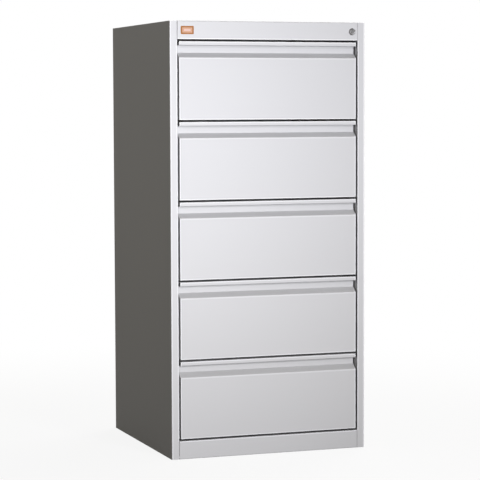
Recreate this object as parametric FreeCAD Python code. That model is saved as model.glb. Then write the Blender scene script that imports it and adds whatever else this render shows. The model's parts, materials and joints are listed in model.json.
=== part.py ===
"""Five-drawer steel card index cabinet.

Millimetres. +Z is up and the fronts face -Y. The origin is the centre of the
footprint, on the floor. Drawers are numbered from the top.
"""

import FreeCAD
import Part
import math
import os

V = FreeCAD.Vector

# Carcass sizes
width = 630.0
depth = 622.0
drawer_count = 5
drawer_pitch = 241.0
top_rail_height = 55.5
plinth_height = 56.0
plinth_lip = 11.0
front_gap = 4.5
side_gap = 4.2
stile_width = 24.0
stile_depth = 30.0
stile_flange = 14.0
back_flange = 15.0
panel_sheet = 1.0
edge_radius = 2.2
seam = 0.3
weld_overlap = 1.0
rail_return = 20.0
cover_flange = 15.0

# Base and feet
pan_height = 20.0
pan_sheet = 1.5
pan_flange = 15.0
pan_tongue_gap = 1.0
foot_inset_x = 48.0
foot_inset_y = 62.0
foot_across_flats = 30.0
foot_pad_height = 7.0
foot_stud_radius = 4.0
foot_travel = 12.0
foot_thread_end = 7.5
nut_across_flats = 16.0
screw_clearance = 0.08

# Drawer front, measured down from its top edge
lip_height = 13.0
recess_depth = 22.0
recess_wall_end = 34.6
slope_end = 49.2
front_sheet = 1.0
liner_inset = 1.0
liner_top_gap = 3.0

# Tray
tray_sheet = 0.8
tray_lift = 6.0
tray_side_height = 150.0
tray_rear_gap = 24.0
tray_rim = 9.0
rib_width = 10.0
rib_height = 4.0
back_wall_drop = 20.0

# Lane divider and follower plates
divider_height = 142.0
divider_foot = 15.0
follower_side_gap = 20.0
follower_height = 132.0
follower_lean = 10.0
follower_foot_length = 62.0
follower_foot_width = 120.0
follower_sheet = 1.2
follower_corner = 18.0
follower_rear_gap = 22.0
slide_gap = 0.3

# Telescopic runners
runner_height = 45.0
runner_space = 13.0
runner_sheet = 1.2
runner_lift = 20.0
runner_setback = 33.0
runner_rear_gap = 37.0
runner_flange = 10.5

# Runner uprights
upright_sheet = 1.2
upright_face = 30.0
upright_flange = 14.0
front_upright_setback = 53.0
rear_upright_setback = 53.0
upright_head_gap = 20.0

# Lock
lock_inset = 18.0
lock_drop = 28.0
lock_rim_radius = 11.0
lock_rim_proud = 1.5
lock_rim_recess = 1.0
lock_rim_wall = 1.4
lock_rim_chamfer = 0.6
lock_body_radius = 9.0
lock_body_length = 26.0
plug_radius = 7.2
plug_clearance = 0.08
keyway_width = 1.8
keyway_height = 9.0
keyway_depth = 12.0
cam_sheet = 2.0
cam_throw = 8.0
cam_rest_angle = 45.0
cam_heel = 7.0
cam_nose = 4.5
cam_half = 6.0
cam_corner = 2.5
cam_pin_radius = 2.0
cam_tail_side = 6.0
bar_sheet = 2.0
bar_width = 12.0
bar_side_gap = 4.0
bar_corner = 3.0
arm_height = 14.0
arm_slot_wall = 4.4
bar_running_gap = 1.0
bar_tail = 20.0
hook_height = 10.0
hook_reach = 15.0
hook_chamfer = 3.3
catch_gap = 25.0
catch_height = 10.0
catch_reach = 11.0
guide_height = 14.0
guide_wall = 1.7

# Badge
badge_width = 40.5
badge_height = 24.5
badge_inset = 10.8
badge_sheet = 0.8
badge_rim = 2.0
badge_rim_height = 0.5
badge_corner = 2.5

# Cutting shapes run past the metal by this much
overshoot = 1.0

# Places worked out from the sizes
height = plinth_height + front_gap + drawer_count * drawer_pitch + top_rail_height
front_y = -(depth - lock_rim_proud) / 2
back_y = front_y + depth
half_width = width / 2
opening_half = half_width - stile_width
front_half = opening_half - side_gap
front_height = drawer_pitch - front_gap
front_back_y = front_y + recess_depth + front_sheet
tray_half = opening_half - runner_space
back_inner_y = back_y - 2 * panel_sheet
tray_back_y = back_inner_y - tray_rear_gap
stile_back_y = front_y + stile_depth
wall_x = half_width - panel_sheet
lock_x = opening_half - lock_inset
lock_z = height - lock_drop
bar_x = wall_x - bar_side_gap - bar_width
bar_front_y = stile_back_y + bar_running_gap
bar_lift = cam_throw * math.sin(math.radians(cam_rest_angle))
arm_z = lock_z + bar_lift


def drawer_bottom(number):
    """Height of the lower edge of a drawer's front."""
    return plinth_height + front_gap + (drawer_count - number) * drawer_pitch


def lane_centre(side):
    """Middle of the left (-1) or right (+1) card lane."""
    return side * (tray_half - tray_sheet / 2) / 2


# Drawing helpers
def unit(a, b):
    length = math.hypot(b[0] - a[0], b[1] - a[1])
    return (b[0] - a[0]) / length, (b[1] - a[1]) / length


def in_space(point, plane, level):
    u, v = point
    if plane == "xy":
        return V(u, v, level)
    if plane == "yz":
        return V(level, u, v)
    return V(u, level, v)


def outline_wire(corners, plane, level):
    """Closed wire through (u, v, radius) corners, with an arc at each rounded one."""
    count = len(corners)
    ends = []
    for i, (u, v, radius) in enumerate(corners):
        before = corners[i - 1]
        after = corners[(i + 1) % count]
        d1 = unit(before, (u, v))
        d2 = unit((u, v), after)
        turn = math.atan2(d1[0] * d2[1] - d1[1] * d2[0], d1[0] * d2[0] + d1[1] * d2[1])
        if radius <= 0 or abs(turn) < 1e-6:
            ends.append(((u, v), None, (u, v)))
            continue
        cut = radius * math.tan(abs(turn) / 2)
        start = (u - d1[0] * cut, v - d1[1] * cut)
        end = (u + d2[0] * cut, v + d2[1] * cut)
        bisector = unit((0, 0), (d2[0] - d1[0], d2[1] - d1[1]))
        reach = radius / math.cos(turn / 2) - radius
        middle = (u + bisector[0] * reach, v + bisector[1] * reach)
        ends.append((start, middle, end))
    edges = []
    for i, (start, middle, end) in enumerate(ends):
        if middle:
            arc = [in_space(p, plane, level) for p in (start, middle, end)]
            edges.append(Part.Arc(*arc).toShape())
        a = in_space(end, plane, level)
        b = in_space(ends[(i + 1) % count][0], plane, level)
        if a.distanceToPoint(b) > 1e-6:
            edges.append(Part.LineSegment(a, b).toShape())
    return Part.Wire(edges)


def prism(corners, plane, low, high):
    """Straight solid between two levels of the axis that the plane leaves out."""
    rounded = [c if len(c) == 3 else (c[0], c[1], 0) for c in corners]
    face = Part.Face(outline_wire(rounded, plane, low))
    axis = {"xy": V(0, 0, 1), "yz": V(1, 0, 0), "xz": V(0, 1, 0)}[plane]
    return face.extrude(axis * (high - low))


def folded(path, sheet, plane, low, high, bend=0):
    """Sheet bent along a path. The metal lies to the left of the path, as walked.

    The bends whose outer side is on the path get an outer radius of bend.
    """
    near = []
    far = []
    last = len(path) - 1
    for i, point in enumerate(path):
        before = unit(path[max(i - 1, 0)], path[max(i, 1)])
        after = unit(path[min(i, last - 1)], path[min(i + 1, last)])
        cross = before[0] * after[1] - before[1] * after[0]
        dot = before[0] * after[0] + before[1] * after[1]
        scale = sheet / (1 + dot)
        offset = (-(before[1] + after[1]) * scale, (before[0] + after[0]) * scale)
        outside = 0 < i < last and cross > 0
        near.append((point[0], point[1], bend if outside else 0))
        far.append((point[0] + offset[0], point[1] + offset[1], 0))
    return prism(near + far[::-1], plane, low, high)


def box(low, high):
    return Part.makeBox(high[0] - low[0], high[1] - low[1], high[2] - low[2], V(*low))


def rod(radius, x, z, y_from, y_to):
    """Cylinder along Y."""
    return Part.makeCylinder(radius, y_to - y_from, V(x, y_from, z), V(0, 1, 0))


def post(radius, x, y, z_from, z_to):
    """Cylinder along Z."""
    return Part.makeCylinder(radius, z_to - z_from, V(x, y, z_from))


def hexagon(across_flats, x, y, z_from, z_to):
    """Six-sided prism along Z."""
    angles = [math.radians(60 * i) for i in range(6)]
    radius = across_flats / (2 * math.sin(angles[1]))
    return prism([(x + radius * math.cos(a), y + radius * math.sin(a)) for a in angles], "xy", z_from, z_to)


def mirrored(shape):
    return shape.mirror(V(0, 0, 0), V(1, 0, 0))


def save(name, *solids):
    """Write the separate solids of one named piece."""
    shape = solids[0] if len(solids) == 1 else Part.makeCompound(list(solids))
    for solid in shape.Solids:
        if not solid.isValid():
            raise ValueError(name + " has a solid that is not valid")
    shape.exportStep(os.path.join("parts", name + ".step"))


# Carcass
def right_side_panel():
    """Side wall with the front stile and the back flange folded from one sheet."""
    path = [(opening_half + stile_flange, stile_back_y),
            (opening_half, stile_back_y),
            (opening_half, front_y),
            (half_width, front_y),
            (half_width, back_y),
            (half_width - back_flange, back_y)]
    panel = folded(path, panel_sheet, "xy", 0, height, edge_radius)
    top_notch = box((0, front_y + panel_sheet, height - panel_sheet - seam),
                    (wall_x, back_y - panel_sheet, height + overshoot))
    return panel.cut(top_notch)


def back_panel():
    """Flat sheet that lies inside the back flanges of the sides."""
    face_y = back_y - panel_sheet
    return box((-wall_x + seam, face_y - panel_sheet, 0), (wall_x - seam, face_y, height))


def top_cover():
    """Top sheet whose front edge turns down between the stiles as the lock rail."""
    rail_z = height - top_rail_height
    path = [(front_y + rail_return, rail_z),
            (front_y, rail_z),
            (front_y, height),
            (back_inner_y, height),
            (back_inner_y, height - cover_flange)]
    rail_half = opening_half - seam
    cover = folded(path[::-1], panel_sheet, "yz", -rail_half, rail_half, edge_radius)
    ear = box((rail_half - weld_overlap, front_y + panel_sheet + seam, height - panel_sheet),
              (wall_x - seam, back_inner_y - seam, height))
    cover = cover.fuse([ear, mirrored(ear)])
    cover = cover.cut(rod(lock_body_radius + plug_clearance, lock_x, lock_z,
                          front_y - overshoot, front_y + panel_sheet + overshoot))
    return cover.removeSplitter()


def plinth_rail():
    """C-shaped rail between the feet of the stiles."""
    path = [(front_y + rail_return, 0),
            (front_y, 0),
            (front_y, plinth_height),
            (front_y + plinth_lip, plinth_height)]
    rail_half = opening_half - seam
    return folded(path[::-1], panel_sheet, "yz", -rail_half, rail_half, edge_radius)


def foot_places():
    """Centres of the four levelling feet."""
    x = half_width - foot_inset_x
    ends = (front_y + foot_inset_y, back_y - foot_inset_y)
    return [(side * x, y) for y in ends for side in (-1, 1)]


def base_pan():
    """Floor of the cabinet, with side flanges and a welded nut for each foot."""
    inside = wall_x - seam
    path = [(-inside, pan_height + pan_flange), (-inside, pan_height), (inside, pan_height),
            (inside, pan_height + pan_flange)]
    pan = folded(path, pan_sheet, "xz", stile_back_y + seam, back_inner_y)
    tongue_half = opening_half - pan_tongue_gap
    tongue = box((-tongue_half, front_y + panel_sheet, pan_height),
                 (tongue_half, stile_back_y + seam + weld_overlap, pan_height + pan_sheet))
    pan = pan.fuse(tongue)
    for x, y in foot_places():
        pan = pan.fuse(hexagon(nut_across_flats, x, y, foot_pad_height, pan_height + pan_sheet / 2))
    for x, y in foot_places():
        pan = pan.cut(post(foot_stud_radius + screw_clearance, x, y, 0, pan_height + pan_flange))
    return pan.removeSplitter()


def levelling_foot(x, y):
    """Hexagonal pad on a threaded stud, screwed right in at rest."""
    pad = hexagon(foot_across_flats, x, y, 0, foot_pad_height)
    stud_top = pan_height + pan_sheet + foot_travel + foot_thread_end
    stud = post(foot_stud_radius, x, y, foot_pad_height / 2, stud_top)
    return pad.fuse(stud).removeSplitter()


def right_upright(middle_y):
    """Hat-section post that carries the fixed runner members."""
    inner = opening_half + upright_sheet
    half = upright_face / 2
    path = [(wall_x, middle_y - half - upright_flange),
            (wall_x, middle_y - half),
            (inner, middle_y - half),
            (inner, middle_y + half),
            (wall_x, middle_y + half),
            (wall_x, middle_y + half + upright_flange)]
    low = pan_height + pan_flange + seam
    return folded(path, upright_sheet, "xy", low, height - upright_head_gap)


def upright_places():
    front = front_y + front_upright_setback + upright_face / 2
    rear = back_y - rear_upright_setback - upright_face / 2
    return front, rear


# Runners
def channel(web_x, tip_x, low_z, high_z):
    """C-section runner member on the right side, from its web to its flange tips."""
    inward = tip_x < web_x
    path = [(tip_x, low_z), (web_x, low_z), (web_x, high_z), (tip_x, high_z)]
    if not inward:
        path.reverse()
    return folded(path, runner_sheet, "xz", front_y + runner_setback, back_inner_y - runner_rear_gap)


def runner_members(number):
    """Fixed, middle and drawer members of the right runner of one drawer."""
    low = drawer_bottom(number) + runner_lift
    high = low + runner_height
    nest = runner_sheet + slide_gap
    fixed = channel(opening_half, opening_half - runner_flange, low, high)
    middle = channel(opening_half - nest, opening_half - runner_flange, low + nest, high - nest)
    inner = channel(tray_half, opening_half - 2 * nest, low + 2 * nest, high - 2 * nest)
    return fixed, middle, inner


def catch_z(number):
    """Lower edge of a drawer's catch, above its runner."""
    return drawer_bottom(number) + runner_lift + runner_height + catch_gap


def lock_catch(number):
    """Steel tab on the right of the tray that the lock bar's hook stops."""
    z = catch_z(number)
    y = bar_front_y + 2 * bar_sheet + bar_running_gap
    return box((tray_half, y, z), (tray_half + catch_reach, y + bar_sheet, z + catch_height))


# Drawers
def front_path(top, bottom):
    """Side view of the folded front: lip, finger recess, slope, face and bottom return."""
    return [(front_back_y, top),
            (front_y, top),
            (front_y, top - lip_height),
            (front_y + recess_depth, top - lip_height),
            (front_y + recess_depth, top - recess_wall_end),
            (front_y, top - slope_end),
            (front_y, bottom),
            (front_y + recess_depth, bottom)]


def drawer_front(number):
    """Front folded from one sheet, with a pull along its whole width."""
    bottom = drawer_bottom(number)
    top = bottom + front_height
    front = folded(front_path(top, bottom), front_sheet, "yz", -front_half, front_half, edge_radius)
    cheek_outline = [(front_y, bottom, edge_radius),
                     (front_y + recess_depth, bottom),
                     (front_y + recess_depth, top - recess_wall_end),
                     (front_y, top - slope_end, edge_radius)]
    cheek = prism(cheek_outline, "yz", front_half - front_sheet, front_half)
    front = front.fuse([cheek, mirrored(cheek)])
    rounded_ends = [(-front_half, front_back_y), (-front_half, front_y, edge_radius),
                    (front_half, front_y, edge_radius), (front_half, front_back_y)]
    return front.common(prism(rounded_ends, "xy", bottom, top)).removeSplitter()


def front_liner(number):
    """Inner sheet that closes the back of the front below the recess."""
    bottom = drawer_bottom(number)
    top = bottom + front_height - recess_wall_end - liner_top_gap
    edge = front_half - liner_inset
    return box((-edge, front_back_y - front_sheet, bottom + liner_inset), (edge, front_back_y, top))


def drawer_tray(number):
    """Folded tray with a rolled-in rim, two guide ribs and low end walls."""
    low = drawer_bottom(number) + tray_lift
    high = low + tray_side_height
    ribs = []
    for side in (-1, 1):
        centre = lane_centre(side)
        ribs += [(centre - rib_width / 2, low), (centre - rib_width / 2, low + rib_height),
                 (centre + rib_width / 2, low + rib_height), (centre + rib_width / 2, low)]
    path = [(-tray_half + tray_rim, high), (-tray_half, high), (-tray_half, low)] + ribs
    path += [(tray_half, low), (tray_half, high), (tray_half - tray_rim, high)]
    tray = folded(path, tray_sheet, "xz", front_back_y, tray_back_y)
    inside = tray_half - tray_sheet / 2
    front_wall = box((-inside, front_back_y, low + tray_sheet / 2),
                     (inside, front_back_y + tray_sheet, high - tray_sheet / 2))
    back_wall = box((-inside, tray_back_y - tray_sheet, low + tray_sheet / 2),
                    (inside, tray_back_y, high - back_wall_drop))
    return tray.fuse([front_wall, back_wall]).removeSplitter()


def lane_divider(number):
    """Upright strip between the two card lanes, with a foot on the tray's floor."""
    low = drawer_bottom(number) + tray_lift + tray_sheet
    half = tray_sheet / 2
    path = [(-half, low + divider_height), (-half, low), (-half + divider_foot, low)]
    return folded(path, tray_sheet, "xz", front_back_y + tray_sheet, tray_back_y - tray_sheet)


def follower_plate(number, side):
    """Leaning plate that keeps the cards upright. Its split foot straddles the guide rib."""
    low = drawer_bottom(number) + tray_lift + tray_sheet + slide_gap
    centre = lane_centre(side)
    heel = tray_back_y - follower_rear_gap
    toe = heel - follower_foot_length
    lean = follower_height * math.tan(math.radians(follower_lean))
    path = [(heel, low), (toe, low), (toe + lean, low + follower_height)]
    half = (tray_half - tray_sheet - tray_sheet / 2) / 2 - follower_side_gap
    plate = folded(path[::-1], follower_sheet, "yz", centre - half, centre + half)
    rounded = [(centre - half, low), (centre + half, low),
               (centre + half, low + follower_height, follower_corner),
               (centre - half, low + follower_height, follower_corner)]
    plate = plate.common(prism(rounded, "xz", toe - overshoot, heel + overshoot))
    bend_room = 2 * follower_sheet
    past = heel + overshoot
    for cut_side in (-1, 1):
        reach = sorted((centre + cut_side * follower_foot_width / 2, centre + cut_side * (half + overshoot)))
        plate = plate.cut(box((reach[0], toe + bend_room, low - overshoot),
                              (reach[1], past, low + follower_sheet + overshoot)))
    slot_half = rib_width / 2 + tray_sheet + slide_gap
    return plate.cut(box((centre - slot_half, toe - overshoot, low - overshoot),
                         (centre + slot_half, past, low + rib_height + slide_gap)))


# Lock
def lock_barrel():
    """Fixed body turned in one piece, with a raised rim around a shallow cup."""
    bore = plug_radius + plug_clearance
    profile = [(bore, lock_rim_recess - lock_rim_proud),
               (lock_rim_radius - lock_rim_wall, -lock_rim_proud),
               (lock_rim_radius - lock_rim_chamfer, -lock_rim_proud),
               (lock_rim_radius, lock_rim_chamfer - lock_rim_proud),
               (lock_rim_radius, 0),
               (lock_body_radius, 0),
               (lock_body_radius, lock_body_length),
               (bore, lock_body_length)]
    points = [V(lock_x + r, front_y + y, lock_z) for r, y in profile]
    face = Part.Face(Part.makePolygon(points + points[:1]))
    return face.revolve(V(lock_x, 0, lock_z), V(0, 1, 0), 360)


def lock_plug():
    """Turning plug with a keyway in front and a square tail behind."""
    face_y = front_y - lock_rim_proud + lock_rim_recess
    back = front_y + lock_body_length
    plug = rod(plug_radius, lock_x, lock_z, face_y, back)
    half = cam_tail_side / 2
    tail = box((lock_x - half, back - weld_overlap, lock_z - half),
               (lock_x + half, back + cam_sheet, lock_z + half))
    keyway = box((lock_x - keyway_width / 2, face_y - overshoot, lock_z - keyway_height / 2),
                 (lock_x + keyway_width / 2, face_y + keyway_depth, lock_z + keyway_height / 2))
    return plug.fuse(tail).cut(keyway).removeSplitter()


def lock_cam():
    """Lever on the plug's tail, with the pin that lifts and drops the bar."""
    back = front_y + lock_body_length
    lean = math.radians(cam_rest_angle)
    along = (math.cos(lean), math.sin(lean))
    across = (-along[1], along[0])
    corners = []
    for u, v in [(-cam_heel, -cam_half), (cam_throw + cam_nose, -cam_half), (cam_throw + cam_nose, cam_half),
                 (-cam_heel, cam_half)]:
        corners.append((lock_x + u * along[0] + v * across[0], lock_z + u * along[1] + v * across[1],
                        cam_corner))
    cam = prism(corners, "xz", back, back + cam_sheet)
    half = cam_tail_side / 2
    cam = cam.cut(box((lock_x - half, back - overshoot, lock_z - half),
                      (lock_x + half, back + cam_sheet + overshoot, lock_z + half)))
    pin = rod(cam_pin_radius, lock_x + bar_lift, lock_z + bar_lift, back + cam_sheet / 2,
              bar_front_y + 2 * bar_sheet)
    return cam.fuse(pin).removeSplitter()


def lock_bar():
    """Upright bar beside the drawers, moved by the arm at its head."""
    low = hook_z(drawer_count) - bar_tail
    top = arm_z + arm_height / 2
    outline = [(bar_x, low), (bar_x + bar_width, low), (bar_x + bar_width, top, bar_corner),
               (bar_x, top, bar_corner)]
    return prism(outline, "xz", bar_front_y, bar_front_y + bar_sheet)


def lock_arm():
    """Plate riveted behind the head of the bar. The cam's pin runs in its slot."""
    front = bar_front_y + bar_sheet
    half = arm_height / 2
    slot_half = cam_pin_radius + slide_gap
    slot_start = lock_x + bar_lift - slot_half
    slot_end = lock_x + cam_throw + slot_half
    tip_x = slot_start - arm_slot_wall
    outline = [(tip_x, arm_z - half, bar_corner), (bar_x + bar_width, arm_z - half),
               (bar_x + bar_width, arm_z + half, bar_corner), (tip_x, arm_z + half, bar_corner)]
    arm = prism(outline, "xz", front, front + bar_sheet)
    return arm.cut(box((slot_start, front - overshoot, arm_z - slot_half),
                       (slot_end, front + bar_sheet + overshoot, arm_z + slot_half)))


def hook_z(number):
    """Lower edge of a hook while the lock is open."""
    return catch_z(number) + catch_height + bar_running_gap


def lock_hook(number):
    """Plate on the bar that drops in front of a drawer's catch."""
    z = hook_z(number)
    y = bar_front_y + bar_sheet
    tip = bar_x - hook_reach
    top = z + hook_height
    outline = [(tip + hook_chamfer, z), (bar_x + bar_width, z), (bar_x + bar_width, top),
               (tip + hook_chamfer, top), (tip, top - hook_chamfer), (tip, z + hook_chamfer)]
    return prism(outline, "xz", y, y + bar_sheet)


def bar_guide(number):
    """Nylon block behind the stile that the bar slides through."""
    z = drawer_bottom(number) + runner_lift
    low_x = bar_x - guide_wall
    high_y = bar_front_y + bar_sheet + slide_gap + guide_wall
    block = box((low_x, stile_back_y, z), (wall_x, high_y, z + guide_height))
    slot = box((bar_x - slide_gap, bar_front_y - slide_gap, z - overshoot),
               (bar_x + bar_width + slide_gap, bar_front_y + bar_sheet + slide_gap, z + guide_height + overshoot))
    return block.cut(slot)


# Badge
def badge_plate():
    """Plain plate with a raised rim, left bare."""
    low_x = -opening_half + badge_inset
    low_z = height - top_rail_height / 2 - badge_height / 2

    def plate(inset, radius, y_from, y_to):
        x1, x2 = low_x + inset, low_x + badge_width - inset
        z1, z2 = low_z + inset, low_z + badge_height - inset
        return prism([(x1, z1, radius), (x2, z1, radius), (x2, z2, radius), (x1, z2, radius)], "xz", y_from, y_to)

    badge = plate(0, badge_corner, front_y - badge_sheet - badge_rim_height, front_y)
    field = plate(badge_rim, 0, front_y - badge_sheet - badge_rim_height - overshoot, front_y - badge_sheet)
    return badge.cut(field)


# Build
os.makedirs("parts", exist_ok=True)

side_panel = right_side_panel()
save("right_side_panel", side_panel)
save("left_side_panel", mirrored(side_panel))
save("back_panel", back_panel())
save("top_cover", top_cover())
save("plinth_rail", plinth_rail())
save("base_pan", base_pan())
save("badge_plate", badge_plate())

uprights = [right_upright(y) for y in upright_places()]
save("runner_uprights", *(uprights + [mirrored(u) for u in uprights]))

corners = ["front_left", "front_right", "back_left", "back_right"]
for corner, (x, y) in zip(corners, foot_places()):
    save("foot_" + corner, levelling_foot(x, y))

drawers = range(1, drawer_count + 1)
fixed_members = []
for number in drawers:
    fixed, middle, inner = runner_members(number)
    fixed_members += [fixed, mirrored(fixed)]
    save("middle_runners_%d" % number, middle, mirrored(middle))
    save("drawer_runners_%d" % number, inner, mirrored(inner), lock_catch(number))
    save("drawer_front_%d" % number, drawer_front(number))
    save("front_liner_%d" % number, front_liner(number))
    save("drawer_tray_%d" % number, drawer_tray(number))
    save("lane_divider_%d" % number, lane_divider(number))
    save("left_follower_%d" % number, follower_plate(number, -1))
    save("right_follower_%d" % number, follower_plate(number, 1))
save("fixed_runners", *fixed_members)

save("lock_barrel", lock_barrel())
save("lock_plug", lock_plug())
save("lock_cam", lock_cam())
save("lock_bar", lock_bar())
save("lock_arm", lock_arm())
save("lock_hooks", *[lock_hook(number) for number in drawers])
save("bar_guides", *[bar_guide(number) for number in drawers if number % 2])
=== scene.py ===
import json
import math

import bpy
import numpy as np
from mathutils import Matrix, Vector


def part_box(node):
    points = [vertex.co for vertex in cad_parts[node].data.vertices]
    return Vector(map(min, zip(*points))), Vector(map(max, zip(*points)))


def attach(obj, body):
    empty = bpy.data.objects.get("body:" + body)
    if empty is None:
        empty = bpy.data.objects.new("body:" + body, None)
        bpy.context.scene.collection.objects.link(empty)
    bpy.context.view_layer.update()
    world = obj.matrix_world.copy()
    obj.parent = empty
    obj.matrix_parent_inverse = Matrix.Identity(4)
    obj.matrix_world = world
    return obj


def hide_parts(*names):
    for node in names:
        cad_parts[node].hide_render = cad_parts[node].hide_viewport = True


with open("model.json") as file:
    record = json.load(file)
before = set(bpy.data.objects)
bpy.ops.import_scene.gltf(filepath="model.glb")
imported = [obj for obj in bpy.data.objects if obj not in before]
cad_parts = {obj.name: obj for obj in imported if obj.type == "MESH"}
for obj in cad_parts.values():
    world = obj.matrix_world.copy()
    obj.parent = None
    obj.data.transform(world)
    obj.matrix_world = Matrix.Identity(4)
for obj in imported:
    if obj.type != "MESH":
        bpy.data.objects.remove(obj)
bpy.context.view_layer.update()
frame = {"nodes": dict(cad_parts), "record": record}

nodes = frame["nodes"]
drawerCount = sum(name.startswith("drawer_front_") for name in nodes)
drawerNumbers = range(1, drawerCount + 1)


# Places of the cabinet's parts, in metres, read from the frame.
def readPlaces():
    sideLow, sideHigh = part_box("left_side_panel")
    coverLow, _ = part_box("top_cover")
    _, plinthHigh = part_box("plinth_rail")
    firstLow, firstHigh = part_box("drawer_front_1")
    lastLow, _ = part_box("drawer_front_%d" % drawerCount)
    return {"frontY": sideLow.y, "backY": sideHigh.y, "halfWidth": -sideLow.x, "height": sideHigh.z,
            "openingHalf": -sideHigh.x, "railBottom": coverLow.z, "plinthTop": plinthHigh.z,
            "frontHalf": firstHigh.x, "frontHeight": firstHigh.z - firstLow.z, "lastBottom": lastLow.z,
            "pitch": (firstLow.z - lastLow.z) / (drawerCount - 1)}


at = readPlaces()
print("cabinet loaded:", len(nodes), "pieces,", drawerCount, "drawers")


# One socket of a shader. Sums, products and powers of it add their Math nodes.
class Wire:
    def __init__(self, finish, socket):
        self.finish = finish
        self.socket = socket

    def maths(self, operation, *values):
        return self.finish.node("ShaderNodeMath", {"operation": operation}, dict(enumerate(values)))

    def __add__(self, other):
        return self.maths("ADD", self, other)

    def __radd__(self, other):
        return self.maths("ADD", other, self)

    def __sub__(self, other):
        return self.maths("SUBTRACT", self, other)

    def __rsub__(self, other):
        return self.maths("SUBTRACT", other, self)

    def __mul__(self, other):
        return self.maths("MULTIPLY", self, other)

    def __rmul__(self, other):
        return self.maths("MULTIPLY", other, self)

    def __pow__(self, other):
        return self.maths("POWER", self, other)

    def __mod__(self, other):
        return self.maths("FLOORED_MODULO", self, other)

    def __abs__(self):
        return self.maths("ABSOLUTE", self)

    def larger(self, other):
        return self.maths("MAXIMUM", self, other)


# A material under construction.
class Finish:
    def __init__(self, name, tree=None):
        if tree is None:
            self.material = bpy.data.materials.new(name)
            self.material.use_nodes = True
            tree = self.material.node_tree
        self.tree = tree
        self.tree.nodes.clear()

    # Adds a node: its settings first, then the values or wires of its sockets.
    def node(self, kind, settings=None, sockets=None, output=0):
        made = self.tree.nodes.new(kind)
        for key, value in (settings or {}).items():
            setattr(made, key, value)
        for key, value in (sockets or {}).items():
            if isinstance(value, Wire):
                self.tree.links.new(value.socket, made.inputs[key])
            else:
                made.inputs[key].default_value = value
        return Wire(self, made.outputs[output]) if made.outputs else None

    def place(self):
        return self.node("ShaderNodeTexCoord", output="Object")

    def axes(self, place):
        return [self.node("ShaderNodeSeparateXYZ", sockets={"Vector": place}, output=axis) for axis in "XYZ"]

    def stretched(self, place, scale):
        return self.node("ShaderNodeVectorMath", {"operation": "MULTIPLY"}, {0: place, 1: scale})

    def noise(self, place, scale, detail=2.0, roughness=0.5):
        return self.node("ShaderNodeTexNoise", None,
                         {"Vector": place, "Scale": scale, "Detail": detail, "Roughness": roughness})

    # Rises smoothly from 0 at low to 1 at high.
    def rise(self, value, low, high):
        return self.node("ShaderNodeMapRange", {"interpolation_type": "SMOOTHSTEP"},
                         {"Value": value, "From Min": low, "From Max": high})

    # 1 between low and high, with edges that fade outwards.
    def band(self, value, low, high, fade):
        return self.rise(value, low - fade, low) * (1.0 - self.rise(value, high, high + fade))

    def blend(self, factor, first, second):
        return self.node("ShaderNodeMix", {"data_type": "RGBA"},
                         {0: factor, 6: (*first, 1) if isinstance(first, tuple) else first,
                          7: (*second, 1) if isinstance(second, tuple) else second}, output=2)

    def bump(self, height, depth, strength=1.0):
        return self.node("ShaderNodeBump", None, {"Height": height, "Distance": depth, "Strength": strength})

    def surface(self, **sockets):
        named = {key.replace("_", " "): value for key, value in sockets.items()}
        shader = self.node("ShaderNodeBsdfPrincipled", None, named)
        self.node("ShaderNodeOutputMaterial", None, {"Surface": shader})
        return self.material


# 1 on the outermost skin of the front, 0 behind it.
def frontSkin(coat, y, look):
    return 1.0 - coat.rise(y, at["frontY"] + look["frontDepth"], at["frontY"] + 2 * look["frontDepth"])


# Powder coat: a fine orange peel, faint pigment grain and a slow drift of tone. A painted light tint
# warms it towards the floor, painted highlights pale it along the bends, painted shade darkens it by the
# gaps and in the recess, the seams are dark lines, and it dimples at the spot welds.
def powderCoat(name, look, paintedLightAndSeams, welds):
    coat = Finish(name)
    place = coat.place()
    x, y, z = coat.axes(place)
    peel = coat.noise(place, look["peelScale"], 2.0, look["peelRough"])
    grain = coat.noise(place, look["grainScale"], 1.0)
    drift = coat.noise(place, look["driftScale"], 3.0)
    tone = drift * look["driftShare"] + grain * look["grainShare"]
    plain = coat.blend(coat.rise(tone, *look["toneLevels"]), look["darkTone"], look["lightTone"])
    # Painted light tint: warmer towards the floor, standing in for light that is bluer higher up.
    paintedLightTint = (1.0 - coat.rise(z, *look["paintedLightTintLevels"])) * look["paintedLightTintShare"]
    plain = coat.blend(paintedLightTint, plain, look["paintedLightTintTone"])
    foldHighlight, shadeAndSeams = paintedLightAndSeams(coat, abs(x), y, z, look)
    # Painted highlight: a paler tone along the bends, on the front skin only.
    paintedHighlight = foldHighlight * frontSkin(coat, y, look) * (look["foldHighlightLevel"] + grain * look["foldHighlightGrain"])
    colour = coat.blend(paintedHighlight, plain, look["foldHighlightTone"])
    # Painted shade by the gaps and in the recess, and the dark seams, in a near-black tone.
    colour = coat.blend(shadeAndSeams, colour, look["shadeAndSeamTone"])
    rough = look["roughness"] + (drift - 0.5) * look["roughDrift"] + (grain - 0.5) * look["roughGrain"]
    height = peel - welds(coat, abs(x), y, z, look) * look["weldDepth"]
    return coat.surface(Base_Color=colour, Roughness=rough, IOR=look["ior"],
                        Normal=coat.bump(height, look["peelDepth"]))
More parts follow.
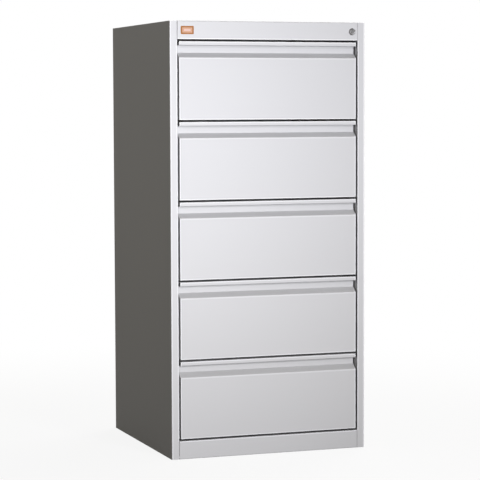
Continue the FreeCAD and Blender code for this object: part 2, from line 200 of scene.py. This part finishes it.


# Painted highlights lie along the carcass's bends at the stiles' edges, under the top rail and over the
# plinth.
# Painted shade darkens the edges beside the drawers, and the seams where the rail and the plinth meet the
# stiles are dark lines.
def carcassPaintedLightAndSeams(coat, across, y, z, look):
    wide, fade = look["foldWidth"], look["foldFade"]
    fromOpening = across - at["openingHalf"]
    above, below = z - at["railBottom"], at["plinthTop"] - z
    drawers = (1.0 - coat.rise(above, 0.0, fade)) * (1.0 - coat.rise(below, 0.0, fade))
    between = 1.0 - coat.rise(fromOpening, -fade, 0.0)
    inner = drawers * coat.band(fromOpening, look["edgeWidth"], wide, fade)
    outer = coat.band(across, at["halfWidth"] - wide, at["halfWidth"], fade)
    rails = coat.band(above, look["edgeWidth"], wide, fade)
    plinth = coat.band(below, look["edgeWidth"], wide, fade)
    foldHighlight = inner.larger(outer).larger(rails.larger(plinth) * between)
    beside = coat.band(fromOpening, 0.0, look["edgeWidth"], look["edgeFade"]) * drawers
    under = coat.band(above, 0.0, look["edgeWidth"], look["edgeFade"])
    over = coat.band(below, 0.0, look["edgeWidth"], look["edgeFade"])
    offSeam = coat.rise(abs(fromOpening), look["seamWidth"], look["seamWidth"] + look["edgeFade"])
    seams = (1.0 - offSeam) * (1.0 - drawers)
    # Painted shade on the edges beside the drawers, under the rail and over the plinth.
    edges = beside.larger(under.larger(over) * between) * look["edgeShade"]
    return foldHighlight, edges.larger(seams * look["seamShade"]) * frontSkin(coat, y, look)


# Spot welds in a row down each back flange, one per spacing.
def carcassWelds(coat, across, y, z, look):
    side = across - (at["halfWidth"] - look["weldInset"])
    along = (z % look["weldSpacing"]) - look["weldSpacing"] / 2
    reach = (side * side + along * along) ** 0.5
    behind = coat.rise(y, at["backY"] - look["frontDepth"], at["backY"])
    return (1.0 - coat.rise(reach, look["weldRadius"] * look["weldFlat"], look["weldRadius"])) * behind


# Painted highlights lie along every drawer front's bends at its lip, at the upper edge of its face, below
# and at both sides. Painted shade darkens the outer edges and the recess, most of all right under the lip as
# its shadow.
def drawerPaintedLight(coat, across, y, z, look):
    wide, fade = look["foldWidth"], look["foldFade"]
    level = (z - at["lastBottom"]) % at["pitch"]
    fromTop = at["frontHeight"] - level
    fromSide = at["frontHalf"] - across
    below = coat.band(level, look["edgeWidth"], wide, fade)
    lip = coat.band(fromTop, look["edgeWidth"], wide, fade)
    face = coat.band(fromTop, look["slopeEnd"], look["slopeEnd"] + wide, fade)
    side = coat.band(fromSide, look["edgeWidth"], wide, fade)
    foldHighlight = below.larger(lip).larger(face * look["slopeShare"]).larger(side)
    nearest = [coat.rise(value, look["edgeWidth"], look["edgeWidth"] + look["edgeFade"])
               for value in (level, fromTop, fromSide)]
    front = frontSkin(coat, y, look)
    # Painted shade along the outer edges of the front, beside the gaps.
    edges = (1.0 - nearest[0] * nearest[1] * nearest[2]) * front * look["edgeShade"]
    deep = 1.0 - front
    # Painted shade in the recess, deepest right under the lip, as the lip's shadow.
    inside = coat.band(fromTop, look["lipHeight"], look["slopeEnd"], fade) * deep
    lipShadowEnd = look["lipHeight"] + look["lipShadowHeight"]
    lipShadow = 1.0 - coat.rise(fromTop, lipShadowEnd - look["lipShadowHeight"] / 2, lipShadowEnd)
    recess = inside * (look["recessShade"] + lipShadow * (look["lipShadowShade"] - look["recessShade"]))
    return foldHighlight, edges.larger(recess)


def noWelds(coat, across, y, z, look):
    return 0.0


# The pale fold tone is a painted highlight, the near-black tone with its edge, recess and under-lip shares is
# painted shade and dark seams, and the warmer low tone is a painted light tint.
greyCoat = {"lightTone": (0.622, 0.626, 0.642), "darkTone": (0.606, 0.610, 0.626), "roughness": 0.46,
            "roughDrift": 0.06, "roughGrain": 0.05, "peelScale": 420, "peelDepth": 0.00006,
            "peelRough": 0.45, "grainScale": 1900, "grainShare": 0.3, "driftScale": 2.3, "driftShare": 0.7,
            "toneLevels": (0.3, 0.7), "ior": 1.45, "paintedLightTintTone": (0.624, 0.617, 0.606),
            "paintedLightTintLevels": (0.15, 1.25), "paintedLightTintShare": 0.45, "foldHighlightTone": (0.84, 0.845, 0.86),
            "foldHighlightLevel": 0.7, "foldHighlightGrain": 0.6, "foldWidth": 0.0034, "foldFade": 0.0012,
            "frontDepth": 0.002, "slopeEnd": 0.0492, "slopeShare": 0.4,
            "shadeAndSeamTone": (0.06, 0.06, 0.062), "edgeWidth": 0.0008, "edgeFade": 0.0003, "edgeShade": 0.9,
            "seamWidth": 0.0003, "seamShade": 0.8, "lipHeight": 0.013, "lipShadowHeight": 0.009, "lipShadowShade": 0.22,
            "recessShade": 0.06, "weldDepth": 3.0, "weldRadius": 0.003, "weldFlat": 0.7,
            "weldSpacing": 0.11, "weldInset": 0.0075}


# Zinc plate: rolled streaks along the length, with patches of a bluer and a warmer bloom.
def zincPlate(name, look):
    zinc = Finish(name)
    place = zinc.place()
    along = zinc.stretched(place, look["streak"])
    streaks = zinc.noise(along, look["streakScale"], 3.0, zincPattern["streakRough"])
    patches = zinc.noise(place, look["patchScale"], 2.0)
    colour = zinc.blend(zinc.rise(patches, *zincPattern["patchLevels"]), look["coolTone"], look["warmTone"])
    rough = look["roughness"] + (streaks - 0.5) * look["roughStreak"]
    return zinc.surface(Base_Color=colour, Metallic=1.0, Roughness=rough,
                        Normal=zinc.bump(streaks, look["streakDepth"]))


zincPattern = {"streakRough": 0.6, "patchLevels": (0.35, 0.65)}
runnerZinc = {"coolTone": (0.33, 0.345, 0.37), "warmTone": (0.38, 0.375, 0.35), "roughness": 0.55,
              "roughStreak": 0.14, "streak": (1.0, 0.03, 1.0), "streakScale": 900, "patchScale": 18,
              "streakDepth": 0.00003}
barSteel = {"coolTone": (0.15, 0.155, 0.165), "warmTone": (0.19, 0.185, 0.175), "roughness": 0.50,
            "roughStreak": 0.16, "streak": (1.0, 1.0, 0.03), "streakScale": 1100, "patchScale": 25,
            "streakDepth": 0.00003}
footZinc = {"coolTone": (0.36, 0.38, 0.41), "warmTone": (0.42, 0.41, 0.37), "roughness": 0.50,
            "roughStreak": 0.12, "streak": (1.0, 1.0, 0.2), "streakScale": 600, "patchScale": 60,
            "streakDepth": 0.00002}


# Chrome with the hair scratches that keys leave, and the keyway painted near black as painted shade.
def keyChrome(name, look):
    chrome = Finish(name)
    place = chrome.place()
    x, _, z = chrome.axes(place)
    low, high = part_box("lock_plug")
    centre = (low + high) / 2
    along = chrome.stretched(place, look["scratch"])
    scratches = chrome.noise(along, look["scratchScale"], 4.0, look["scratchRough"])
    worn = chrome.rise(scratches, *look["wornLevels"])
    colour = chrome.blend(worn, look["bright"], look["dull"])
    # Painted shade: the keyway is painted near black.
    wide = 1.0 - chrome.rise(abs(x - centre.x), look["keyHalf"], look["keyHalf"] + look["keyFade"])
    tall = 1.0 - chrome.rise(abs(z - centre.z), look["keyReach"], look["keyReach"] + look["keyFade"])
    keywayShade = wide * tall
    rough = look["roughness"] + worn * look["wornRough"]
    return chrome.surface(Base_Color=chrome.blend(keywayShade, colour, look["keywayShadeTone"]), Metallic=1.0,
                          Roughness=rough + keywayShade * look["keyRough"],
                          Normal=chrome.bump(scratches, look["scratchDepth"]))


# The near-black key tone is painted shade in the keyway.
lockChrome = {"bright": (0.52, 0.52, 0.54), "dull": (0.42, 0.42, 0.43), "roughness": 0.18, "wornRough": 0.16,
              "scratch": (1.0, 1.0, 0.15), "scratchScale": 1500, "scratchRough": 0.7, "scratchDepth": 0.00001,
              "wornLevels": (0.52, 0.72), "keyHalf": 0.0011,
              "keyReach": 0.0047, "keyFade": 0.0003, "keywayShadeTone": (0.015, 0.015, 0.016), "keyRough": 0.5}


# Matt enamel with a dark border and a plain pale strip across its field.
def badgeEnamel(name, look):
    enamel = Finish(name)
    place = enamel.place()
    x, _, z = enamel.axes(place)
    low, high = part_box("badge_plate")
    centre, half = (low + high) / 2, (high - low) / 2

    def within(halfLength, halfHeight):
        length = enamel.rise(abs(x - centre.x), halfLength - look["fade"], halfLength)
        height = enamel.rise(abs(z - centre.z), halfHeight - look["fade"], halfHeight)
        return (1.0 - length) * (1.0 - height)

    flow = enamel.noise(place, look["flowScale"], 2.0)
    ground = enamel.blend(flow, look["fieldTone"], look["fieldLight"])
    field = within(half.x - look["border"], half.z - look["border"])
    colour = enamel.blend(field, look["borderTone"], ground)
    colour = enamel.blend(within(look["stripHalf"], look["stripRise"]), colour, look["stripTone"])
    return enamel.surface(Base_Color=colour, Roughness=look["roughness"] + (flow - 0.5) * look["roughFlow"],
                          Specular_IOR_Level=look["specular"], Normal=enamel.bump(flow, look["flowDepth"]))


badgeLook = {"fieldTone": (0.58, 0.305, 0.175), "fieldLight": (0.63, 0.335, 0.20),
             "borderTone": (0.36, 0.125, 0.010), "border": 0.0042,
             "stripTone": (0.72, 0.49, 0.42), "stripHalf": 0.0105, "stripRise": 0.0034, "fade": 0.0005,
             "roughness": 0.42, "roughFlow": 0.1, "specular": 0.2, "flowScale": 240,
             "flowDepth": 0.00003}


# Moulded nylon: milky, with a fine spark texture.
def mouldedNylon(name, look):
    nylon = Finish(name)
    place = nylon.place()
    spark = nylon.noise(place, look["sparkScale"], 2.0, look["sparkRough"])
    cloud = nylon.noise(place, look["cloudScale"], 2.0)
    colour = nylon.blend(cloud, look["shadow"], look["milk"])
    return nylon.surface(Base_Color=colour, Roughness=look["roughness"] + (spark - 0.5) * look["roughSpark"],
                         Normal=nylon.bump(spark, look["sparkDepth"]))


guideNylon = {"shadow": (0.70, 0.69, 0.64), "milk": (0.80, 0.79, 0.74), "roughness": 0.52, "roughSpark": 0.2,
              "sparkScale": 1300, "sparkRough": 0.6, "cloudScale": 40, "sparkDepth": 0.00004}

finishes = {
    "carcass_paint": powderCoat("carcassPaint", greyCoat, carcassPaintedLightAndSeams, carcassWelds),
    "drawer_paint": powderCoat("drawerPaint", greyCoat, drawerPaintedLight, noWelds),
    "runner_steel": zincPlate("runnerZinc", runnerZinc),
    "lock_steel": zincPlate("barSteel", barSteel),
    "foot_steel": zincPlate("footZinc", footZinc),
    "lock_chrome": keyChrome("lockChrome", lockChrome),
    "badge_enamel": badgeEnamel("badgeEnamel", badgeLook),
    "guide_nylon": mouldedNylon("guideNylon", guideNylon),
}

for entry in frame["record"]["subparts"]:
    piece = nodes[entry["node"]]
    piece.data.materials.clear()
    piece.data.materials.append(finishes[entry["material_slot"]])
print("finishes on the cabinet's pieces:", len(finishes))


# Faces of rows of points that are closed rings, wound outwards. The last row joins the first
# where the rows loop, and otherwise each end gets a flat cap.
def ringFaces(rows, around, looped=False):
    row, step = np.meshgrid(np.arange(rows if looped else rows - 1), np.arange(around), indexing="ij")
    nextRow, nextStep = (row + 1) % rows, (step + 1) % around
    corners = [row * around + step, row * around + nextStep,
               nextRow * around + nextStep, nextRow * around + step]
    faces = np.stack(corners, -1).reshape(-1, 4).tolist()
    if not looped:
        ring = np.arange(around)
        faces += [ring[::-1].tolist(), (ring + (rows - 1) * around).tolist()]
    return faces


# Edges that turn by more than this many degrees stay sharp.
sharpAngle = 32


# Makes a mesh piece that rides on its body and takes a slot's finish. Its points are a grid
# of rings, and it is repeated at every place.
def addPiece(name, rings, places, body, slotName, looped=False):
    rows, around = rings.shape[:2]
    points = np.array(places, float)[:, None, :] + rings.reshape(1, -1, 3)
    one = ringFaces(rows, around, looped)
    faces = [[corner + copy * rows * around for corner in face]
             for copy in range(len(points)) for face in one]
    mesh = bpy.data.meshes.new(name)
    mesh.from_pydata(points.reshape(-1, 3).tolist(), [], faces)
    mesh.polygons.foreach_set("use_smooth", np.ones(len(mesh.polygons), bool))
    mesh.set_sharp_from_angle(angle=math.radians(sharpAngle))
    mesh.materials.append(finishes[slotName])
    mesh.update()
    piece = bpy.data.objects.new(name, mesh)
    bpy.context.scene.collection.objects.link(piece)
    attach(piece, body)
    return piece


def anglesAround(count):
    return np.arange(count) * 2 * math.pi / count


# Rings around an outward axis: point = radius * (cos * side + sin * up) + level * outward.
# Radius and level are grids of one row per ring.
def turnedRings(radius, level, outward, up):
    outward, up = np.array(outward, float), np.array(up, float)
    angle = anglesAround(radius.shape[1])
    circle = np.cos(angle)[:, None] * np.cross(up, outward) + np.sin(angle)[:, None] * up
    return radius[..., None] * circle + level[..., None] * outward


# Radius of a regular hexagon at each angle, with a corner at angle 0.
def hexagonRadius(acrossFlats, angle):
    sixth = math.pi / 3
    return acrossFlats / 2 / np.cos(angle % sixth - sixth / 2)


# Rivet head: a dome, height * sqrt(1 - (radius / rim)^2), on a short straight foot.
def rivetHead(size, outward, up):
    share = np.cos(np.linspace(0, math.pi / 2, size["rows"]))[:-1]
    radius = size["radius"] * np.concatenate([[1.0], share])
    level = np.concatenate([[-size["sunk"]], size["height"] * np.sqrt(1 - share ** 2)])
    wide = np.ones((1, size["around"]))
    return turnedRings(radius[:, None] * wide, level[:, None] * wide, outward, up)


# Pan head of a screw: a flattened dome, height * (1 - (radius / rim)^4)^(1/2), less a cross
# recess of two smooth bars.
def screwHead(size, outward, up):
    share = np.linspace(1.0, size["centreShare"], size["rows"])
    radius = size["radius"] * np.concatenate([[1.0], share])[:, None] * np.ones(size["around"])
    angle = anglesAround(size["around"])
    u, v = np.abs(radius * np.cos(angle)), np.abs(radius * np.sin(angle))

    def inside(value, edge):
        return np.clip((edge + size["recessFade"] - value) / (2 * size["recessFade"]), 0, 1)

    bars = np.maximum(inside(u, size["barHalf"]) * inside(v, size["barReach"]),
                      inside(v, size["barHalf"]) * inside(u, size["barReach"]))
    dome = size["height"] * np.sqrt(1 - (radius / size["radius"]) ** 4)
    level = dome - size["recessDepth"] * bars
    level[0] = -size["sunk"]
    return turnedRings(radius, level, outward, up)


# Levelling feet: a chamfered hexagonal pad under a threaded stud.
footSize = {"acrossFlats": 0.030, "padHeight": 0.007, "faceShare": 0.96,
            "chamferSlope": math.tan(math.radians(60)), "bevelSteps": 6,
            "studRadius": 0.004, "threadPitch": 0.00125, "threadDepth": 0.0007, "tipChamfer": 0.0012,
            "stepsPerTurn": 8, "around": 48}


# Pad: radius = the smaller of the hexagon and the cone faceShare * edge + chamferSlope * (way
# from the nearer face), which starts inside the flats.
# Stud: radius = studRadius - threadDepth * |2 frac(z / pitch - angle / turn) - 1|, tapered at its tip.
def footRings(top, size):
    angle = anglesAround(size["around"])
    edge = size["acrossFlats"] / 2
    bevel = np.linspace(0, 2 * (1 - size["faceShare"]) * edge * size["chamferSlope"], size["bevelSteps"])
    padLevel = np.concatenate([bevel, size["padHeight"] - bevel[::-1]])
    fromFace = np.minimum(padLevel, size["padHeight"] - padLevel)
    cone = size["faceShare"] * edge + fromFace * size["chamferSlope"]
    pad = np.minimum(hexagonRadius(size["acrossFlats"], angle)[None], cone[:, None])
    steps = int((top - size["padHeight"]) / size["threadPitch"] * size["stepsPerTurn"])
    studLevel = np.linspace(size["padHeight"], top, steps)
    phase = studLevel[:, None] / size["threadPitch"] - angle[None] / (2 * math.pi)
    stud = size["studRadius"] - size["threadDepth"] * np.abs(2 * (phase % 1) - 1)
    taper = size["studRadius"] - np.clip(studLevel - top + size["tipChamfer"], 0, None)
    stud = np.minimum(stud, taper[:, None])
    radius = np.concatenate([pad, stud])
    level = np.concatenate([padLevel, studLevel])[:, None] * np.ones(size["around"])
    return turnedRings(radius, level, (0, 0, 1), (0, 1, 0))


for footName in [name for name in nodes if name.startswith("foot_")]:
    low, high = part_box(footName)
    middle = (low + high) / 2
    rings = footRings(high.z, footSize)
    foot = addPiece(footName + ".threaded", rings, [(middle.x, middle.y, 0)], footName, "foot_steel")
    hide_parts(footName)
print("levelling feet with pads and threads")

# Lock: the ring nut that holds the barrel behind the rail, and the screw that holds the cam.
nutSize = {"acrossFlats": 0.0225, "bore": 0.00905, "depth": 0.0042, "bevel": 0.0006, "railSheet": 0.001,
           "around": 72}
camScrew = {"radius": 0.0042, "height": 0.0021, "sunk": 0.0002, "recessDepth": 0.0013, "barHalf": 0.00055,
            "barReach": 0.0023, "recessFade": 0.00015, "centreShare": 0.03, "rows": 26, "around": 56}


def addLockFasteners():
    low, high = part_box("lock_plug")
    x, z = (low.x + high.x) / 2, (low.z + high.z) / 2
    angle = anglesAround(nutSize["around"])
    flats = hexagonRadius(nutSize["acrossFlats"], angle)
    rim = np.minimum(flats, nutSize["acrossFlats"] / 2)
    bore = np.full_like(flats, nutSize["bore"])
    radius = np.stack([bore, rim, flats, flats, rim, bore])
    depth, bevel = nutSize["depth"], nutSize["bevel"]
    level = np.array([0, 0, bevel, depth - bevel, depth, depth])
    rings = turnedRings(radius, level[:, None] * np.ones_like(radius), (0, 1, 0), (0, 0, 1))
    behindRail = at["frontY"] + nutSize["railSheet"]
    addPiece("lock_nut", rings, [(x, behindRail, z)], "carcass", "lock_steel", looped=True)
    head = screwHead(camScrew, (0, 1, 0), (0, 0, 1))
    addPiece("cam_screw", head, [(x, high.y, z)], "lock", "lock_steel")


addLockFasteners()

# Rivets that hold the hooks and the arm on the lock bar.
barRivet = {"radius": 0.0019, "height": 0.0008, "sunk": 0.0002, "rows": 7, "around": 24, "spread": 0.003}


def addBarRivets():
    low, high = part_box("lock_bar")
    x = (low.x + high.x) / 2
    armLow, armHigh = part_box("lock_arm")
    hookLow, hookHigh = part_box("lock_hooks")
    hookMiddle = (hookHigh.z + hookLow.z - (drawerCount - 1) * at["pitch"]) / 2
    levels = [hookMiddle + step * at["pitch"] for step in range(drawerCount)] + [(armLow.z + armHigh.z) / 2]
    places = [(x + side * barRivet["spread"], armHigh.y, z) for z in levels for side in (-1, 1)]
    head = rivetHead(barRivet, (0, 1, 0), (0, 0, 1))
    addPiece("bar_rivets", head, places, "bar", "lock_steel")


addBarRivets()
print("lock nut, cam screw and bar rivets")

# Rivets that hold the drawer members of the runners to the trays, and the screws that hold
# each front to its tray.
runnerRivet = {"radius": 0.0032, "height": 0.0010, "sunk": 0.0002, "rows": 8, "around": 28,
               "traySheet": 0.0008, "count": 5, "endGap": 0.045}
frontScrew = {"radius": 0.0040, "height": 0.0022, "sunk": 0.0002, "recessDepth": 0.0014, "barHalf": 0.0005,
              "barReach": 0.0022, "recessFade": 0.00015, "centreShare": 0.03, "rows": 22,
              "around": 48, "traySheet": 0.0008,
              "across": (-0.225, -0.055, 0.055, 0.225), "levels": (0.035, 0.115)}


def addTrayFasteners(number):
    low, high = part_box("drawer_tray_%d" % number)
    runnerLow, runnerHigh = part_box("middle_runners_%d" % number)
    body = "drawer_%d" % number
    endGap = runnerRivet["endGap"]
    y = np.linspace(runnerLow.y + endGap, runnerHigh.y - endGap, runnerRivet["count"])
    z = (runnerLow.z + runnerHigh.z) / 2
    for side, label in ((-1, "left"), (1, "right")):
        x = side * (high.x - runnerRivet["traySheet"])
        places = [(x, along, z) for along in y]
        head = rivetHead(runnerRivet, (-side, 0, 0), (0, 0, 1))
        addPiece("runner_rivets_%s_%d" % (label, number), head, places, body, "runner_steel")
    places = [(x, low.y + frontScrew["traySheet"], low.z + level)
              for level in frontScrew["levels"] for x in frontScrew["across"]]
    head = screwHead(frontScrew, (0, 1, 0), (0, 0, 1))
    addPiece("front_screws_%d" % number, head, places, body, "runner_steel")


for number in drawerNumbers:
    addTrayFasteners(number)
print("tray rivets and front screws")

# Rivets along the top and the foot of the back, low enough to stay behind the flanges.
backRivet = {"radius": 0.0032, "height": 0.0008, "sunk": 0.0002, "rows": 8, "around": 28, "count": 7,
             "reach": 0.264, "topInset": 0.0085, "footLevel": 0.028, "sheet": 0.001}


def addBackRivets():
    y = at["backY"] - backRivet["sheet"]
    across = np.linspace(-backRivet["reach"], backRivet["reach"], backRivet["count"])
    levels = (at["height"] - backRivet["topInset"], backRivet["footLevel"])
    places = [(x, y, z) for z in levels for x in across]
    head = rivetHead(backRivet, (0, 1, 0), (0, 0, 1))
    addPiece("back_rivets", head, places, "carcass", "carcass_paint")


addBackRivets()
print("back rivets")


# Camera, fitted to the photograph's edges and drawer gaps.
view = {"place": (-2.03009, -5.76262, 1.07143), "yaw": -0.34104, "pitch": -0.07086, "roll": 0.00337,
        "focalPixels": 1910.57, "frame": 480, "sensor": 36.0, "clipEnd": 100.0}


def addCamera():
    data = bpy.data.cameras.new("camera")
    data.sensor_width = view["sensor"]
    data.lens = view["focalPixels"] * view["sensor"] / view["frame"]
    data.clip_end = view["clipEnd"]
    camera = bpy.data.objects.new("camera", data)
    turn = (Matrix.Rotation(view["yaw"], 4, "Z") @ Matrix.Rotation(math.pi / 2 + view["pitch"], 4, "X")
            @ Matrix.Rotation(-view["roll"], 4, "Z"))
    camera.matrix_world = Matrix.Translation(view["place"]) @ turn
    bpy.context.scene.collection.objects.link(camera)
    bpy.context.scene.camera = camera


# Lamps: where each stands, what it looks at, its width and height, and its power.
lamps = {
    "frontSoftbox": {"place": (0.5, -3.6, 0.9), "target": (-0.75, -0.31, 1.10), "size": (0.6, 1.5),
                     "power": 31.8, "spread": 90.0, "colour": (0.99, 0.99, 1.03)},
    "rearSoftbox": {"place": (2.2, 2.4, 2.9), "target": (0.0, 0.0, 0.8), "size": (2.6, 2.6),
                    "power": 80.0, "spread": 180.0, "colour": (1.0, 1.0, 1.0)},
}


def addLamp(name, lamp):
    data = bpy.data.lights.new(name, "AREA")
    data.shape = "RECTANGLE"
    data.size, data.size_y = lamp["size"]
    data.energy = lamp["power"]
    data.spread = math.radians(lamp["spread"])
    data.color = lamp["colour"]
    item = bpy.data.objects.new(name, data)
    item.location = lamp["place"]
    aim = Vector(lamp["target"]) - Vector(lamp["place"])
    item.rotation_euler = aim.to_track_quat("-Z", "Y").to_euler()
    bpy.context.scene.collection.objects.link(item)


# Studio: white to the eye, and a plain grey level as light. Reflections see a white room to
# the left of the front and a dark one elsewhere. As light the floor is dark near the cabinet
# and as bright as the room far away.
studio = {"ambient": 0.22, "warmth": (1.05, 1.0, 0.90), "mirrorFrom": 0.10, "mirrorTo": 0.35,
          "frontFade": 0.35, "floorAlbedo": 0.07, "floorPale": 0.95, "floorGloss": 0.12,
          "floorSize": 60.0, "shadowShare": 0.11, "clearFrom": 0.7, "clearTo": 2.6,
          "farFrom": 0.8, "farTo": 5.0, "farShare": 0.8}


def addWorld():
    world = bpy.data.worlds.new("studio")
    world.use_nodes = True
    bpy.context.scene.world = world
    sky = Finish("studio", world.node_tree)
    eye = sky.node("ShaderNodeLightPath", output="Is Camera Ray")
    glossy = sky.node("ShaderNodeLightPath", output="Is Glossy Ray")
    through = sky.node("ShaderNodeLightPath", output="Is Transmission Ray")
    x, y, _ = sky.axes(sky.node("ShaderNodeTexCoord", output="Generated"))
    ahead = sky.rise(0.0 - y, -studio["frontFade"], studio["frontFade"])
    front = ahead * (1.0 - sky.rise(x, studio["mirrorFrom"], studio["mirrorTo"]))
    white = eye.larger(through).larger(glossy * front)
    level = studio["ambient"] + white * (1.0 - studio["ambient"])
    tint = sky.blend(white, studio["warmth"], (1.0, 1.0, 1.0))
    light = sky.node("ShaderNodeBackground", None, {"Color": tint, "Strength": level})
    sky.node("ShaderNodeOutputWorld", None, {"Surface": light})


def addFloor():
    half = studio["floorSize"] / 2
    mesh = bpy.data.meshes.new("studioFloor")
    corners = [(-half, -half, 0), (half, -half, 0), (half, half, 0), (-half, half, 0)]
    mesh.from_pydata(corners, [], [(0, 1, 2, 3)])
    floor = bpy.data.objects.new("studioFloor", mesh)
    bpy.context.scene.collection.objects.link(floor)
    pale = Finish("studioFloor")
    eye = pale.node("ShaderNodeLightPath", output="Is Camera Ray")
    glossy = pale.node("ShaderNodeLightPath", output="Is Glossy Ray")
    through = pale.node("ShaderNodeLightPath", output="Is Transmission Ray")
    seen = eye.larger(through).larger(glossy * studio["floorGloss"])
    reach = pale.node("ShaderNodeVectorMath", {"operation": "LENGTH"}, {0: pale.place()}, output="Value")
    clear = pale.rise(reach, studio["clearFrom"], studio["clearTo"])
    share = seen * (1.0 - studio["shadowShare"] * (1.0 - clear))
    colour = pale.blend(seen, (studio["floorAlbedo"],) * 3, (studio["floorPale"],) * 3)
    lit = pale.node("ShaderNodeBsdfDiffuse", None, {"Color": colour})
    white = pale.node("ShaderNodeEmission", None, {"Color": (1, 1, 1, 1), "Strength": 1.0})
    mixed = pale.node("ShaderNodeMixShader", None, {0: share, 1: lit, 2: white})
    room = pale.node("ShaderNodeEmission", None,
                     {"Color": (*studio["warmth"], 1), "Strength": studio["ambient"]})
    far = pale.rise(reach, studio["farFrom"], studio["farTo"]) * studio["farShare"] * (1.0 - seen)
    whole = pale.node("ShaderNodeMixShader", None, {0: far, 1: mixed, 2: room})
    pale.node("ShaderNodeOutputMaterial", None, {"Surface": whole})
    mesh.materials.append(pale.material)


addCamera()
for name, lamp in lamps.items():
    addLamp(name, lamp)
addWorld()
addFloor()
bpy.context.scene.view_settings.view_transform = "Standard"
print("camera, lamps, studio and floor in place")
